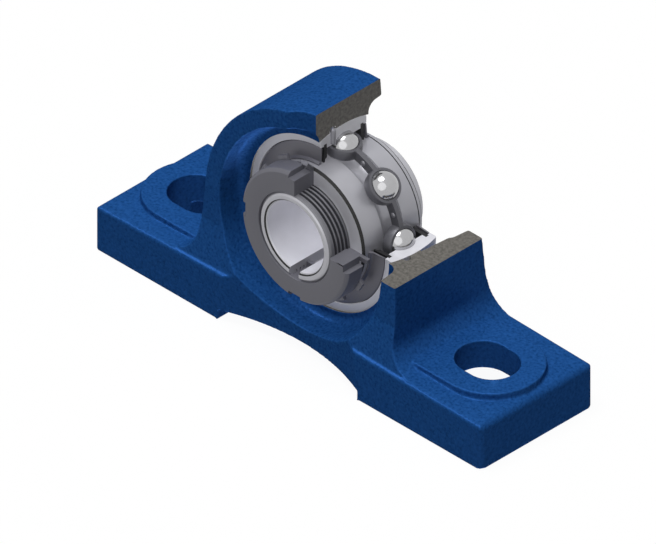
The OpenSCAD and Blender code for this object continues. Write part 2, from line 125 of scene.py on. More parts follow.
def length_mm(name, description, value):
    """A length in metres, given in millimetres"""
    return FloatProperty(
        name=name, description=description, default=value * MM, unit="LENGTH", precision=5
    )


def angle_rad(name, description, value):
    """An angle in radians"""
    return FloatProperty(name=name, description=description, default=value, subtype="ANGLE")


def plain_number(name, description, value):
    """A plain number, such as a share or a strength"""
    return FloatProperty(name=name, description=description, default=value)


def hex_colour(name, description, code):
    """A colour given as an sRGB hex code"""
    return FloatVectorProperty(
        name=name, description=description, default=linear(code), subtype="COLOR", size=3
    )


class CastingLooks(bpy.types.PropertyGroup):
    """Sizes and colours of the painted casting"""

    grain: length_mm("Mesh grain", "Voxel size at which the casting is remeshed", 0.3)
    softening: IntProperty(name="Softening", description="Smoothing passes over the casting", default=6)
    kept: plain_number("Kept share", "Share of the remeshed casting's faces that is kept", 0.18)
    seat_radius: length_mm("Seat radius", "Radius of the machined spherical seat", 31.1)
    opening_radius: length_mm("Opening radius", "Radius of the opening beside the seat", 29.4)
    land_offset: length_mm("Land offset", "Distance from the middle to the end of the land", 10.3)
    groove_offset: length_mm("Groove offset", "Distance of the groove in front of the middle", 4.6)
    groove_radius: length_mm("Groove radius", "Radius of the groove's round cross section", 1.4)
    loading_radius: length_mm("Slot radius", "Radius of the loading slots at the back", 31.7)
    loading_half_height: length_mm("Slot half height", "Half height of a loading slot", 9.9)
    loading_flare: plain_number("Loading slot flare", "Radius gained per length", 0.082)
    paint: hex_colour("Paint", "Blue enamel on the casting", "#225496")
    paint_shade: hex_colour("Paint shade", "Darker blue in the grain of the casting", "#16437c")
    # Painted highlight: a lighter blue laid on convex rounded edges in place of light catching them
    edge_highlight: hex_colour("Edge highlight", "Painted highlight of lighter blue on rounded edges", "#3f7fd0")
    sheen: hex_colour("Sheen", "Tint of the enamel's satin reflection", "#4f93ff")
    sheen_share: plain_number("Sheen share", "Share of light the enamel mirrors", 0.03)
    iron: hex_colour("Cut iron", "Sawn grey cast iron", "#7b7873")
    iron_dark: hex_colour("Cut iron, dark", "Graphite specks in the cut", "#5b5955")


class RingLooks(bpy.types.PropertyGroup):
    """Sizes and colours of the rings, seals and flingers"""

    chamfer: length_mm("Ring chamfer", "Edge rounding of the outer ring", 0.35)
    shoulder: length_mm("Shoulder radius", "Bore radius of the outer ring's shoulders", 25.9)
    face_bore: length_mm("Face bore", "Bore radius of the outer ring at its faces", 26.9)
    groove_radius: length_mm("Seal groove", "Radius of the groove that holds a seal", 27.5)
    groove_start: length_mm("Groove start", "Distance of its inner wall from the middle", 7.05)
    groove_end: length_mm("Groove end", "Distance of its outer wall from the middle", 8.35)
    raceway: length_mm("Raceway radius", "Radius of both raceways' cross section", 4.95)
    race_gap: length_mm("Race gap", "Gap between a ball and a raceway's bottom", 0.03)
    inner_chamfer: length_mm("Inner ring chamfer", "Edge chamfer of the inner ring", 0.75)
    taper_front: length_mm("Taper front", "Radius of the tapered bore at its front", 15.2)
    taper_rate: plain_number("Taper rate", "Radius gained per length of bore", 0.041667)
    seal_lip: length_mm("Seal lip", "Inner radius of a seal's lip", 21.08)
    seal_rim: length_mm("Seal rim", "Outer radius of a seal", 27.4)
    seal_offset: length_mm("Seal offset", "Distance of a seal from the middle", 7.15)
    seal_thickness: length_mm("Seal thickness", "Thickness of a seal", 1.1)
    flinger_rim: length_mm("Flinger rim", "Outer radius of a flinger", 26.6)
    flinger_offset: length_mm("Flinger offset", "Distance of a flinger's rim from the middle", 9.0)
    flinger_sheet: length_mm("Flinger sheet", "Sheet thickness of a flinger", 0.5)
    steel: hex_colour("Ground steel", "Ground bearing steel", "#e2e2e9")
    journal: hex_colour("Honed steel", "Darker honed steel round the inner ring", "#b2b2b9")
    line_offset: length_mm("Turned line", "Distance of the inner ring's line from the middle", 10.8)
    line_width: length_mm("Turned line width", "Width of the turned line", 0.36)
    # Painted shade: near black on chamfers and the turned line, which read dark from their shading
    scale: hex_colour("Scale", "Painted black shade on chamfers and the turned line", "#070708")
    rubber: hex_colour("Rubber", "Black moulded rubber", "#1c1c1e")
    sheet: hex_colour("Flinger steel", "Grey pressed sheet", "#6e6d74")
    pin_steel: hex_colour("Pin steel", "Hardened steel of the locating pin", "#8f8f96")


class SleeveLooks(bpy.types.PropertyGroup):
    """Sizes and colours of the adapter sleeve, nut and washer"""

    bore: length_mm("Bore radius", "Bore of the sleeve", 11.91)
    bore_chamfer: length_mm("Bore chamfer", "Chamfer at both ends of the bore", 0.75)
    nose: length_mm("Nose radius", "Front end of the sleeve inside its chamfer", 13.85)
    thread_radius: length_mm("Thread radius", "Crest radius of the thread", 14.95)
    thread_pitch: length_mm("Thread pitch", "Pitch of the thread", 1.5)
    thread_depth: length_mm("Thread depth", "Depth of the thread", 0.85)
    thread_turns: IntProperty(name="Thread turns", description="Turns of the groove", default=5)
    thread_start: length_mm("Thread start", "Distance of the first groove from the front", 2.4)
    slit: length_mm("Slit width", "Width of the slit along the sleeve", 4.0)
    nut_radius: length_mm("Nut radius", "Outer radius of the lock nut", 22.5)
    nut_chamfer: length_mm("Nut chamfer", "Chamfer of the nut's outer front edge", 1.0)
    slot_width: length_mm("Spanner slot width", "Width of a spanner slot in the nut", 5.0)
    slot_depth: length_mm("Spanner slot depth", "Depth of a spanner slot in the nut", 2.0)
    washer_radius: length_mm("Washer radius", "Outer radius of the washer's ring", 19.2)
    washer_bore: length_mm("Washer bore", "Bore radius of the washer", 15.35)
    washer_sheet: length_mm("Washer sheet", "Thickness of the washer", 1.25)
    tooth_radius: length_mm("Tooth radius", "Distance of a tooth's tip from the shaft", 23.8)
    tooth_width: length_mm("Tooth width", "Width of a washer tooth", 4.0)
    tooth_count: IntProperty(name="Teeth", description="Number of teeth round the washer", default=12)
    tooth_turn: angle_rad("Tooth turn", "Turn of the teeth off the nut's slot", math.radians(1))
    tooth_tip: length_mm("Bent tip", "Length of the bent tooth's tip", 3.0)
    tooth_lean: angle_rad("Tooth lean", "Lean of the bent tooth", math.radians(38))
    tang_width: length_mm("Tang width", "Width of the washer's inner tang", 3.5)
    tang_reach: length_mm("Tang reach", "Distance of the tang's tip from the shaft", 13.0)
    turned_steel: hex_colour("Turned steel", "Turned steel of the sleeve", "#bcbcc2")
    # Painted shade: dark grey in the thread's roots and flanks, where the grooves read dark
    root_shade: hex_colour("Thread roots", "Painted shade in the thread's roots and flanks", "#4a4a50")
    crest: hex_colour("Thread crests", "Dull crests of the thread", "#7a7a80")
    dark_steel: hex_colour("Nut steel", "Phosphated steel of the nut and washer", "#6d6d75")


class CageLooks(bpy.types.PropertyGroup):
    """Sizes and colours of the cage and balls"""

    pocket_gap: length_mm("Pocket gap", "Gap between a ball and its pocket", 0.15)
    sheet: length_mm("Cage sheet", "Thickness of the cage's sheet", 0.8)
    band: length_mm("Cage band", "Width of the cage's band across its radius", 3.2)
    rivet_head: length_mm("Rivet head radius", "Head radius of a cage rivet", 0.85)
    steel: hex_colour("Cage steel", "Pressed steel sheet", "#626268")
    bright: hex_colour("Ball steel", "Lapped chrome steel", "#b0b0b2")
    rivet_steel: hex_colour("Rivet steel", "Upset rivet heads", "#8a8a90")


class StageLooks(bpy.types.PropertyGroup):
    """Camera, floor and lamps"""

    frame_width: length_mm("Frame width", "Width of the picture in the scene", 195.24)
    shift_right: length_mm("Shift right", "Place of the picture's middle, to the right", -4.70)
    shift_up: length_mm("Shift up", "Place of the picture's middle, upwards", 16.28)
    distance: length_mm("Camera distance", "Distance of the camera from the part", 600)
    azimuth: angle_rad("Azimuth", "Turn of the camera round the part", math.radians(45))
    elevation: angle_rad("Elevation", "Height angle of the camera", math.atan(math.sqrt(0.5)))
    floor_size: length_mm("Floor size", "Side of the square floor", 6000)
    floor_share: plain_number("Floor share", "Light the matt floor gives back", 0.12)
    key_strength: plain_number("Key light", "Strength of the soft light from above", 0.9)
    fill_strength: plain_number("Fill light", "Strength of the shadowless light from above", 1.3)
    side_strength: plain_number("Side light", "Strength of the soft light beside the camera", 0.6)
    room_strength: plain_number("Room light", "Strength of the light from all round", 0.1)
    glint_strength: plain_number("Glint", "Strength of the lamp that only makes highlights", 1.0)
    bounce_strength: plain_number("Bounce", "Strength of the floor's glow on the enamel", 16)
    low_strength: plain_number("Low light", "Strength of the light the white floor throws up", 0.6)


def everything(mesh):
    """All vertices, edges and faces of a bmesh"""
    return mesh.verts[:] + mesh.edges[:] + mesh.faces[:]


def arc(centre, radius, start, end, steps):
    """Points along an arc in the section plane, as (distance from the shaft, place along it)"""
    points = []
    for i in range(steps + 1):
        angle = math.radians(start + (end - start) * i / steps)
        points.append((centre[0] + radius * math.cos(angle), centre[1] + radius * math.sin(angle)))
    return points


def mirrored(points):
    """The same outline at the other end of the shaft, walked backwards"""
    return [(radius, -along) for radius, along in reversed(points)]


def section(points, rounding=None, steps=3):
    """One flat face above the shaft; rounding gives corner numbers and their radius"""
    mesh = bmesh.new()
    corners = [mesh.verts.new((0, along, radius)) for radius, along in points]
    mesh.faces.new(corners)
    for size, numbers in (rounding or {}).items():
        picked = [corners[i] for i in numbers]
        bmesh.ops.bevel(mesh, geom=picked, offset=size, segments=steps, affect="VERTICES", **BEVEL)
    return mesh


def turned(mesh, sweep=math.tau, steps=128, lead=0):
    """Spins a section round the shaft, with a lead along it for a thread"""
    closed = sweep == math.tau and lead == 0
    if closed:
        bmesh.ops.delete(mesh, geom=mesh.faces[:], context="FACES_ONLY")
    path = {"cent": (0, 0, 0), "axis": (0, 1, 0), "dvec": (0, lead / steps, 0), "angle": sweep}
    bmesh.ops.spin(mesh, geom=everything(mesh), steps=steps, use_merge=closed, **path)
    bmesh.ops.remove_doubles(mesh, verts=mesh.verts[:], dist=0.001 * MM)
    bmesh.ops.delete(mesh, geom=[edge for edge in mesh.edges if edge.is_wire], context="EDGES")
    bmesh.ops.recalc_face_normals(mesh, faces=mesh.faces[:])
    return mesh


def block(low, high, rounding=0):
    """A box between two corners, with rounded edges where wanted"""
    mesh = bmesh.new()
    low, high = Vector(low), Vector(high)
    bmesh.ops.create_cube(mesh, size=1)
    bmesh.ops.scale(mesh, vec=high - low, verts=mesh.verts[:])
    bmesh.ops.translate(mesh, vec=(low + high) / 2, verts=mesh.verts[:])
    if rounding:
        bmesh.ops.bevel(mesh, geom=mesh.edges[:], offset=rounding, segments=2, affect="EDGES", **BEVEL)
    return mesh


def sphere(radius, around, down):
    """A ball round the origin, with its number of faces around and from pole to pole"""
    mesh = bmesh.new()
    bmesh.ops.create_uvsphere(mesh, u_segments=around, v_segments=down, radius=radius)
    return mesh


def rotated(mesh, angle, axis="Y"):
    """Turns a bmesh about an axis through the origin"""
    bmesh.ops.rotate(mesh, cent=(0, 0, 0), matrix=Matrix.Rotation(angle, 3, axis), verts=mesh.verts[:])
    return mesh


def moved(mesh, offset):
    """Moves a bmesh"""
    bmesh.ops.translate(mesh, vec=offset, verts=mesh.verts[:])
    return mesh


def on_pitch(mesh, number):
    """Moves a bmesh from the origin to a place in the ring of balls, counted from the top"""
    return rotated(moved(mesh, (0, 0, PITCH_RADIUS)), number * BALL_STEP)


def settled(mesh, name):
    """A bmesh as mesh data"""
    data = bpy.data.meshes.new(name)
    mesh.to_mesh(data)
    mesh.free()
    return data


def linked(name, data):
    """A new object in the scene"""
    made = bpy.data.objects.new(name, data)
    bpy.context.scene.collection.objects.link(made)
    return made


def helper_object(mesh):
    """A passing object that holds a bmesh, with spare material slots"""
    data = settled(mesh, "helper")
    for _ in range(SPARE_SLOTS):
        data.materials.append(None)
    return linked("helper", data)


def taken_back(*helpers):
    """The first helper with its modifiers applied, as a bmesh; the helpers are removed"""
    bpy.context.view_layer.update()
    mesh = bmesh.new()
    mesh.from_object(helpers[0], bpy.context.evaluated_depsgraph_get())
    for made in helpers:
        data = made.data
        bpy.data.objects.remove(made)
        bpy.data.meshes.remove(data)
    return mesh


def combined(first, second, operation):
    """Two closed bmeshes joined, cut or intersected"""
    for part in (first, second):
        if not all(edge.is_manifold for edge in part.edges):
            raise RuntimeError("Only closed meshes can be combined")
    target, tool = helper_object(first), helper_object(second)
    step = target.modifiers.new("combine", "BOOLEAN")
    step.operation = operation
    step.solver = "MANIFOLD"
    step.object = tool
    return taken_back(target, tool)


def cut(mesh, *tools):
    """A bmesh less each of the tools"""
    for tool in tools:
        mesh = combined(mesh, tool, "DIFFERENCE")
    return mesh


def joined(mesh, *others):
    """A bmesh united with others"""
    for other in others:
        mesh = combined(mesh, other, "UNION")
    return mesh


def quarter():
    """The quarter that the cutaway removes, seen from the shaft"""
    far = 200 * MM
    return block((0, -far, 0), (far, far, far))


def banded(mesh, bands, number):
    """Gives a material to faces between two distances from the shaft and two places along it"""
    for face in mesh.faces:
        place = face.calc_center_median() - SHAFT
        radius = math.hypot(place.x, place.z)
        for inner, outer, start, end in bands:
            if inner < radius < outer and start < place.y < end:
                face.material_index = number


def published(mesh, name, node, materials, sharp=35, edge=0):
    """Makes a bmesh, placed on the shaft, a piece that stands for its CAD node"""
    for face in mesh.faces:
        face.smooth = True
    for joint in mesh.edges:
        if len(joint.link_faces) == 2 and joint.calc_face_angle() > math.radians(sharp):
            joint.smooth = False
    data = settled(mesh, name)
    for material in materials:
        data.materials.append(material)
    piece = linked(name, data)
    if edge:
        step = piece.modifiers.new("edges", "BEVEL")
        step.width = edge
        step.segments = 2
        step.limit_method = "ANGLE"
        step.angle_limit = math.radians(sharp)
        step.harden_normals = True
        step.use_clamp_overlap = True
    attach(piece, BODY_OF[node])
    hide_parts(node)
    return piece


def add_node(tree, kind, settings=None, links=None):
    """Adds one shader node, sets its properties and sockets, and joins its inputs"""
    made = tree.nodes.new("ShaderNode" + kind)
    for key, value in (settings or {}).items():
        if isinstance(key, int) or key in made.inputs:
            made.inputs[key].default_value = value
        else:
            setattr(made, key, value)
    for key, source in (links or {}).items():
        tree.links.new(source, made.inputs[key])
    return made


def emptied(owner, kind):
    """The cleared node tree of a material or world, and its output"""
    owner.use_nodes = True
    tree = owner.node_tree
    tree.nodes.clear()
    return tree, add_node(tree, "Output" + kind)


def new_material(name):
    """An empty node material with its output, and its object coordinates"""
    material = bpy.data.materials.new(name)
    tree, output = emptied(material, "Material")
    place = add_node(tree, "TexCoord").outputs["Object"]
    return material, tree, output, place


def rgba(colour):
    """A colour with full alpha"""
    return (*colour, 1)


def painted_cast_iron(casting):
    """Blue alkyd enamel sprayed on sand-cast grey iron: a satin skin with the sand's fine grain"""
    material, tree, output, place = new_material("painted_cast_iron")
    sand = {"Scale": 1 / (0.9 * MM), "Detail": 1, "Roughness": 0.5}
    peel = add_node(tree, "TexNoise", sand, {"Vector": place})
    height = {"Height": peel.outputs["Fac"]}
    middling = {"From Min": 0.3, "From Max": 0.7}
    share = add_node(tree, "MapRange", middling, {"Value": peel.outputs["Fac"]})
    blues = {"data_type": "RGBA", 6: rgba(casting.paint_shade), 7: rgba(casting.paint)}
    tint = add_node(tree, "Mix", blues, {0: share.outputs["Result"]})
    # Painted highlight: convex edges, picked out by pointiness, are blended toward the lighter edge
    # blue
    rounded = {"Value": add_node(tree, "NewGeometry").outputs["Pointiness"]}
    edge = add_node(tree, "MapRange", {"From Min": 0.515, "From Max": 0.6, "To Max": 0.2}, rounded)
    edge_highlight = {"data_type": "RGBA", 7: rgba(casting.edge_highlight)}
    highlighted_coat = add_node(tree, "Mix", edge_highlight, {0: edge.outputs["Result"], 6: tint.outputs[2]})
    gloss = add_node(tree, "MapRange", {"To Min": 0.24, "To Max": 0.34}, {"Value": peel.outputs["Fac"]})
    relief = add_node(tree, "Bump", {"Strength": 0.7, "Distance": 0.12 * MM}, height)
    normal = relief.outputs["Normal"]
    matt = add_node(tree, "BsdfDiffuse", {}, {"Color": highlighted_coat.outputs[2], "Normal": normal})
    mirrored_light = {"Roughness": gloss.outputs["Result"], "Normal": normal}
    satin = add_node(tree, "BsdfGlossy", {"Color": rgba(casting.sheen)}, mirrored_light)
    both = {1: matt.outputs[0], 2: satin.outputs[0]}
    shader = add_node(tree, "MixShader", {0: casting.sheen_share}, both)
    tree.links.new(shader.outputs[0], output.inputs["Surface"])
    return material


def sawn_cast_iron(casting):
    """Sawn grey cast iron: dull grey with darker graphite specks and a rough skin"""
    material, tree, output, place = new_material("sawn_cast_iron")
    flakes = {"Scale": 1 / (1.1 * MM), "Detail": 4, "Roughness": 0.6}
    speck = add_node(tree, "TexNoise", flakes, {"Vector": place})
    height = speck.outputs["Fac"]
    share = add_node(tree, "MapRange", {"From Min": 0.35, "From Max": 0.65}, {"Value": height})
    greys = {"data_type": "RGBA", 6: rgba(casting.iron_dark), 7: rgba(casting.iron)}
    tint = add_node(tree, "Mix", greys, {0: share.outputs["Result"]})
    relief = add_node(tree, "Bump", {"Strength": 0.35, "Distance": 0.1 * MM}, {"Height": height})
    shader = add_node(
        tree,
        "BsdfPrincipled",
        {"Roughness": 0.65, "Specular IOR Level": 0.1},
        {"Base Color": tint.outputs[2], "Normal": relief.outputs["Normal"]},
    )
    tree.links.new(shader.outputs[0], output.inputs["Surface"])
    return material


def metal_skin(tree, output, name, colour, spread, cloud, relief):
    """Joins a metal's clouded colour and roughness and its relief to the output"""
    roughness, metallic = STEELS[name][:2]
    glossy, matt, dark, pale = spread
    limits = {"To Min": roughness * glossy, "To Max": roughness * matt}
    gloss = add_node(tree, "MapRange", limits, {"Value": cloud})
    low = rgba([c * dark for c in colour])
    high = rgba([min(1, c * pale) for c in colour])
    shade = add_node(tree, "Mix", {"data_type": "RGBA", 6: low, 7: high}, {0: cloud})
    shader = add_node(
        tree,
        "BsdfPrincipled",
        {"Metallic": metallic},
        {
            "Base Color": shade.outputs[2],
            "Roughness": gloss.outputs["Result"],
            "Normal": relief.outputs["Normal"],
        },
    )
    tree.links.new(shader.outputs[0], output.inputs["Surface"])


def turned_metal(name, colour):
    """Steel turned or ground round the shaft: fine rings, coarser than real ones so that they show"""
    material, tree, output, place = new_material(name)
    lines = STEELS[name][2] * MM
    centred = add_node(tree, "Mapping", {"Location": -SHAFT}, {"Vector": place}).outputs[0]
    wobble = add_node(tree, "TexNoise", {"Scale": 1 / (6 * MM), "Detail": 2}, {"Vector": centred})
    rings = {"wave_type": "RINGS", "rings_direction": "Y", "Scale": 1 / lines / WAVE_RATE}
    rings.update({"Distortion": 2.5, "Detail": 3, "Detail Scale": 3})
    streak = add_node(tree, "TexWave", rings, {"Vector": centred})
    height = {"Height": streak.outputs["Fac"]}
    relief = add_node(tree, "Bump", {"Strength": 0.25, "Distance": 0.01 * MM}, height)
    metal_skin(tree, output, name, colour, (0.85, 1.2, 0.9, 1.06), wobble.outputs["Fac"], relief)
    return material


def plain_metal(name, colour, depth=0.01 * MM):
    """Steel sheet or ball steel: an even skin with a grain coarser than real, so that it shows"""
    material, tree, output, place = new_material(name)
    fine = {"Scale": 1 / (STEELS[name][2] * MM), "Detail": 3}
    pits = add_node(tree, "TexNoise", fine, {"Vector": place}).outputs["Fac"]
    relief = add_node(tree, "Bump", {"Strength": 0.2, "Distance": depth}, {"Height": pits})
    metal_skin(tree, output, name, colour, (0.8, 1.2, 0.92, 1.05), pits, relief)
    return material


def moulded_rubber(ring):
    """Black nitrile rubber from a mould: dull, with a faint sheen"""
    material, tree, output, place = new_material("moulded_rubber")
    fine = {"Scale": 1 / (0.5 * MM), "Detail": 2}
    grain = add_node(tree, "TexNoise", fine, {"Vector": place}).outputs["Fac"]
    relief = add_node(tree, "Bump", {"Strength": 0.2, "Distance": 0.05 * MM}, {"Height": grain})
    gloss = add_node(tree, "MapRange", {"To Min": 0.5, "To Max": 0.65}, {"Value": grain})
    shader = add_node(
        tree,
        "BsdfPrincipled",
        {"Base Color": rgba(ring.rubber), "Specular IOR Level": 0.3},
        {"Roughness": gloss.outputs["Result"], "Normal": relief.outputs["Normal"]},
    )
    tree.links.new(shader.outputs[0], output.inputs["Surface"])
    return material


def casting_blank(casting):
    """The whole casting with its cast edges rounded, and its machined seat still filled"""
    # The CAD casting lacks a quarter on its right side, so its left half is mirrored
    hair, near, seam_gap = 0.0005 * MM, 0.001 * MM, 0.002 * MM
    mesh = bmesh.new()
    mesh.from_mesh(frame["nodes"]["housing"].data)
    bmesh.ops.remove_doubles(mesh, verts=mesh.verts[:], dist=hair)
    middle_cut = {"plane_co": (0, 0, 0), "plane_no": (1, 0, 0), "clear_outer": True}
    bmesh.ops.bisect_plane(mesh, geom=everything(mesh), dist=hair, **middle_cut)
    seam = [face for face in mesh.faces if all(abs(corner.co.x) < near for corner in face.verts)]
    bmesh.ops.delete(mesh, geom=seam, context="FACES")
    bmesh.ops.mirror(
        mesh, geom=everything(mesh), matrix=Matrix.Identity(4), merge_dist=seam_gap, axis="X"
    )
    bmesh.ops.recalc_face_normals(mesh, faces=mesh.faces[:])
    plug = bmesh.new()
    cover = casting.opening_radius + 1.4 * MM
    length = 2 * casting.land_offset
    bmesh.ops.create_cone(plug, cap_ends=True, segments=128, radius1=cover, radius2=cover, depth=length)
    plug = moved(rotated(plug, math.pi / 2, "X"), SHAFT)
    made = helper_object(joined(mesh, plug))
    grain = made.modifiers.new("grain", "REMESH")
    grain.mode = "VOXEL"
    grain.voxel_size = casting.grain
    soft = made.modifiers.new("soft", "SMOOTH")
    soft.factor = 0.5
    soft.iterations = casting.softening
    thin = made.modifiers.new("thin", "DECIMATE")
    thin.ratio = casting.kept
    return taken_back(made)


def seat_tool(casting):
    """The machined seat as a solid: a ball zone with its plain opening"""
    reach = 14 * MM
    half = math.degrees(math.acos(casting.opening_radius / casting.seat_radius))
    points = [(0, -reach), (casting.opening_radius, -reach)]
    points += arc((0, 0), casting.seat_radius, -half, half, steps=24)
    points += [(casting.opening_radius, reach), (0, reach)]
    return moved(turned(section(points)), SHAFT)


def groove_tool(casting):
    """The round groove in the seat, in which the locating pin runs"""
    sunk, points = 0.1 * MM, 24
    centre = (casting.seat_radius - sunk, -casting.groove_offset)
    circle = arc(centre, casting.groove_radius, 0, 360 - 360 / points, steps=points - 1)
    return moved(turned(section(circle)), SHAFT)


def loading_tool(casting):
    """The two slots at the back through which the ring is loaded"""
    start, depth = 1 * MM, 40 * MM
    near = casting.loading_radius
    wide = near + casting.loading_flare * depth
    points = [(0, start), (near, start), (wide, start + depth), (0, start + depth)]
    disc = turned(section(points))
    far = 60 * MM
    height = casting.loading_half_height
    slab = block((-far, -far, -height), (far, far, height))
    return moved(combined(disc, slab, "INTERSECT"), SHAFT)


class BEARING_OT_casting(bpy.types.Operator):
    """Cast housing with soft edges, cut open crisply"""

    bl_idname = "bearing.casting"
    bl_label = "Casting"

    def execute(self, context):
        casting = context.scene.casting_looks
        tools = [seat_tool(casting), groove_tool(casting), loading_tool(casting)]
        mesh = cut(casting_blank(casting), *tools, moved(quarter(), SHAFT))
        near, hair = 0.01 * MM, 0.05 * MM
        land = math.sqrt(casting.seat_radius ** 2 - casting.opening_radius ** 2) - hair
        deepest = casting.seat_radius + 1.5 * MM
        for face in mesh.faces:
            place = face.calc_center_median()
            on_side = abs(place.x) < near and place.z > SHAFT.z
            on_top = abs(place.z - SHAFT.z) < near and place.x > 0
            place -= SHAFT
            on_land = math.hypot(place.x, place.z) > casting.opening_radius + hair
            machined = on_land and abs(place.y) < land and place.length < deepest
            face.material_index = 1 if on_side or on_top or machined else 0
        materials = [painted_cast_iron(casting), sawn_cast_iron(casting)]
        published(mesh, "housing_casting", "housing", materials, sharp=45)
        return {"FINISHED"}


class BEARING_OT_outer_ring(bpy.types.Operator):
    """Outer ring with its spherical outside, raceway and seal grooves, and its locating pin"""

    bl_idname = "bearing.outer_ring"
    bl_label = "Outer ring"

    def execute(self, context):
        ring = context.scene.ring_looks
        radius = left_radius("outer_ring")
        half = half_length("outer_ring")
        race = PITCH_RADIUS + BALL_RADIUS + ring.race_gap - ring.raceway
        rise = math.degrees(math.acos((ring.shoulder - race) / ring.raceway))
        tilt = math.degrees(math.asin(half / radius))
        inner_half = [
            (ring.shoulder, ring.groove_start),
            (ring.groove_radius, ring.groove_start),
            (ring.groove_radius, ring.groove_end),
            (ring.face_bore, ring.groove_end),
            (ring.face_bore, half),
        ]
        steps = 24
        outside = arc((0, 0), radius, tilt, -tilt, steps)
        points = arc((race, 0), ring.raceway, -rise, rise, steps=18) + inner_half
        first = len(points)
        points += outside + mirrored(inner_half)
        rounding = {ring.chamfer: [first, first + steps]}
        mesh = part_ring(points, 1, rounding)
        steel = turned_metal("ground_bearing_steel", ring.steel)
        published(mesh, "outer_race", "outer_ring", [steel])
        low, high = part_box("locating_pin")
        pin_radius = (high.x - low.x) / 2
        near, ball_clearance = 0.001 * MM, 0.3 * MM
        pin = sphere(pin_radius, 24, 16)
        drop = (high.z - low.z) - pin_radius - ball_clearance
        bmesh.ops.delete(pin, geom=[v for v in pin.verts if v.co.z < -near], context="VERTS")
        rim = [e for e in pin.edges if e.is_boundary]
        grown = bmesh.ops.extrude_edge_only(pin, edges=rim)
        skirt = [v for v in grown["geom"] if isinstance(v, bmesh.types.BMVert)]
        bmesh.ops.translate(pin, vec=(0, 0, -drop), verts=skirt)
        bmesh.ops.holes_fill(pin, edges=[e for e in pin.edges if e.is_boundary], sides=0)
        bmesh.ops.recalc_face_normals(pin, faces=pin.faces[:])
        centre = middle("locating_pin")
        moved(pin, (centre.x, centre.y, high.z - pin_radius))
        bright = plain_metal("hardened_pin_steel", ring.pin_steel)
        published(pin, "ring_pin", "locating_pin", [bright])
        return {"FINISHED"}


class BEARING_OT_inner_ring(bpy.types.Operator):
    """Inner ring with its raceway and tapered bore"""

    bl_idname = "bearing.inner_ring"
    bl_label = "Inner ring"

    def execute(self, context):
        ring = context.scene.ring_looks
        radius = left_radius("inner_ring")
        half = half_length("inner_ring")
        race = PITCH_RADIUS - BALL_RADIUS - ring.race_gap + ring.raceway
        rise = math.degrees(math.acos((race - radius) / ring.raceway))
        face = radius - ring.inner_chamfer
        back_bore = ring.taper_front + 2 * half * ring.taper_rate
        line, width = ring.line_offset, ring.line_width
        points = [(ring.taper_front, -half), (face, -half), (radius, ring.inner_chamfer - half)]
        points += arc((race, 0), ring.raceway, 180 + rise, 180 - rise, steps=20)
        points += [
            (radius, line - width / 2),
            (radius - width / 2, line),
            (radius, line + width / 2),
            (radius, half - ring.inner_chamfer),
            (face, half),
            (back_bore, half),
        ]
        near, bore_edge = 0.02 * MM, 0.25 * MM
        rounding = {bore_edge: [0, len(points) - 1]}
        mesh = moved(turned(section(points, rounding), steps=160), SHAFT)
        # Painted shade: both chamfers and the turned line get the near-black material
        rims = [
            (face, radius - near, near - half, ring.inner_chamfer - half - near),
            (face, radius - near, half - ring.inner_chamfer + near, half - near),
            (radius - width, radius - near, line - width / 2, line + width / 2),
        ]
        faces = [(0, face, -half - near, near - half), (0, face, half - near, half + near)]
        shade_black, ground_flat = 1, 2
        banded(mesh, rims, shade_black)
        banded(mesh, faces, ground_flat)
        steel = turned_metal("honed_bearing_steel", ring.journal)
        scale = plain_metal("painted_shade_black", ring.scale)
        ground = bpy.data.materials["ground_bearing_steel"]
        published(mesh, "inner_race", "inner_ring", [steel, scale, ground])
        return {"FINISHED"}


def part_ring(points, side, rounding):
    """Three quarters of a ring, whose section is mirrored where side is -1"""
    points = [(radius, along * side) for radius, along in points]
    return moved(turned(section(points, rounding), THREE_QUARTERS, steps=96), SHAFT)


def seal_mesh(ring, side):
    """Three quarters of a rubber seal; side is -1 for the front"""
    back, face = ring.seal_offset, ring.seal_offset + ring.seal_thickness
    sunk, beak, under, throat = 0.05 * MM, 0.3 * MM, 0.25 * MM, 0.45 * MM
    neck, root, rounded = 0.9 * MM, 1.3 * MM, 0.12 * MM
    points = [
        (ring.seal_rim, back),
        (ring.seal_rim, face - sunk),
        (ring.face_bore - neck, face),
        (ring.seal_lip, face + beak),
        (ring.seal_lip, face - under),
        (ring.seal_lip + neck, face - throat),
        (ring.seal_lip + root, back),
    ]
    return part_ring(points, side, {rounded: range(len(points))})


def flinger_mesh(ring, side):
    """Three quarters of a sheet flinger with its collar; side is -1 for the front"""
    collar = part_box("flinger_rear")[1].y - SHAFT.y
    bore = left_radius("inner_ring") + FIT
    sheet, bend, rise, rounded = ring.flinger_sheet, 0.5 * MM, 0.4 * MM, 0.15 * MM
    outer = ring.flinger_offset + sheet
    points = [
        (ring.flinger_rim, ring.flinger_offset),
        (ring.flinger_rim, outer),
        (bore + sheet + bend, outer + rise),
        (bore + sheet, collar),
        (bore, collar),
        (bore, ring.flinger_offset + rise),
    ]
    return part_ring(points, side, {rounded: range(len(points) - 1)})


class BEARING_OT_seals(bpy.types.Operator):
    """Rubber seals and the sheet flingers in front of them"""

    bl_idname = "bearing.seals"
    bl_label = "Seals and flingers"

    def execute(self, context):
        ring = context.scene.ring_looks
        rubber = moulded_rubber(ring)
        sheet = turned_metal("pressed_flinger_steel", ring.sheet)
        for side, end in ((-1, "front"), (1, "rear")):
            seal, flinger = seal_mesh(ring, side), flinger_mesh(ring, side)
            published(seal, "seal_lip_" + end, "seal_" + end, [rubber])
            published(flinger, "flinger_disc_" + end, "flinger_" + end, [sheet])
        return {"FINISHED"}


